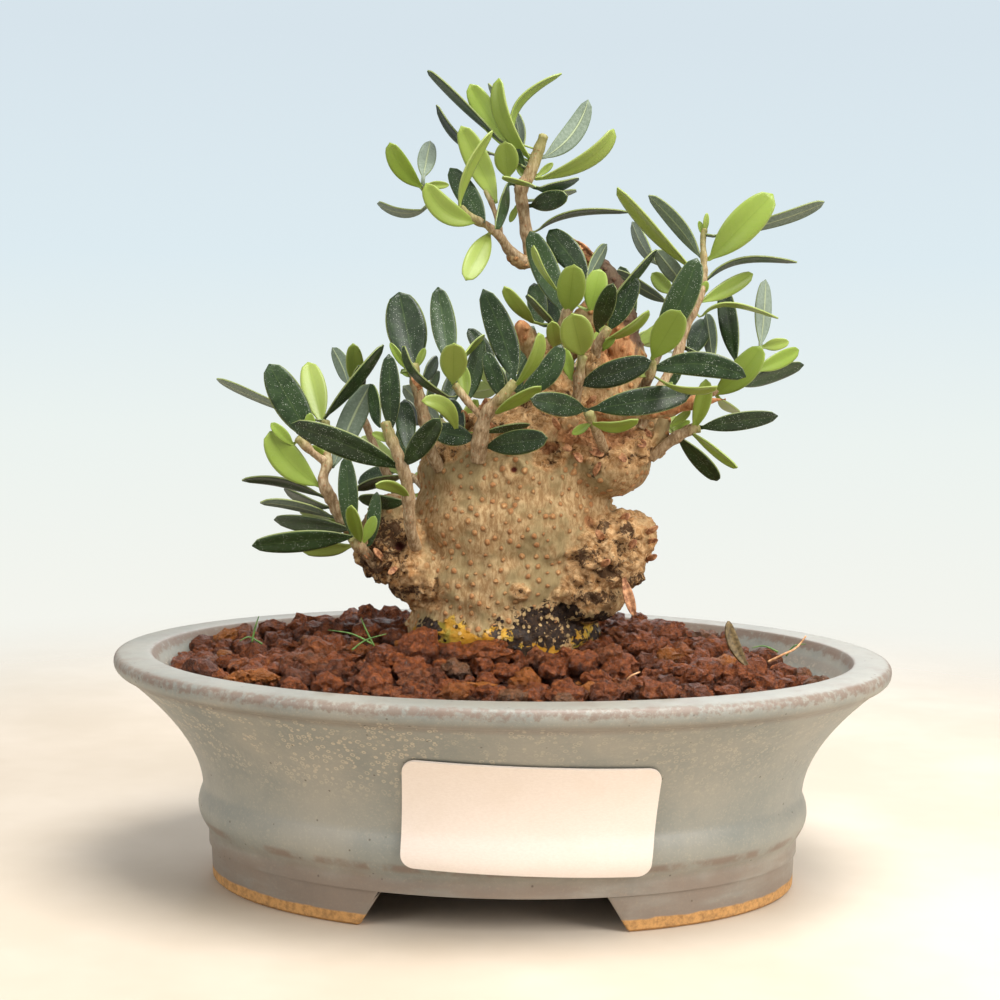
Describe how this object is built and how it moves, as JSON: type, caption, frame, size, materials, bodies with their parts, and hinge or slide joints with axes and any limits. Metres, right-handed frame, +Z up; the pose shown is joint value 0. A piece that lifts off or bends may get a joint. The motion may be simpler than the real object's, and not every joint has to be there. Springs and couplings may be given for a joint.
{
  "type": "wild olive bonsai in pot",
  "caption": "Small wild olive bonsai with a swollen, burled trunk and leafy shoots, standing in soil in an oval flared glazed pot on two curved feet.",
  "frame": {"origin": "centre of the bounding box at its lowest plane, the underside of the pot's feet", "axes": "+Z up; +X along the pot's long side, to the right of a viewer who faces the label; +Y away from that viewer"},
  "size_m": [0.1596, 0.1256, 0.1658],
  "materials": {
    "glaze": "satin",
    "label_paper": "matte",
    "screen_plastic": "matte",
    "earth": "matte",
    "bark": "matte",
    "foliage": "satin",
    "fresh_foliage": "satin"
  },
  "bodies": {
    "root": {"pot": "glaze", "label": "label_paper", "drain_screen_left": "screen_plastic", "drain_screen_right": "screen_plastic", "soil": "earth", "trunk": "bark", "shoot_apex": "foliage", "shoot_apex_left": "fresh_foliage", "shoot_centre": "fresh_foliage", "shoot_centre_top": "foliage", "shoot_top_mid": "foliage", "shoot_front_low": "foliage", "shoot_left": "foliage", "shoot_left_back": "foliage", "shoot_left_low": "foliage", "shoot_left_mid": "foliage", "shoot_left_top": "foliage", "shoot_mid_left": "foliage", "shoot_right_back": "foliage", "shoot_right_centre": "fresh_foliage", "shoot_right_low": "fresh_foliage", "shoot_right_mid": "fresh_foliage", "shoot_right_top": "fresh_foliage", "shoot_far_1": "foliage", "shoot_far_2": "foliage", "shoot_far_3": "foliage", "shoot_far_4": "foliage", "shoot_far_5": "foliage", "shoot_far_6": "foliage", "shoot_far_7": "foliage"}
  },
  "joints": []
}
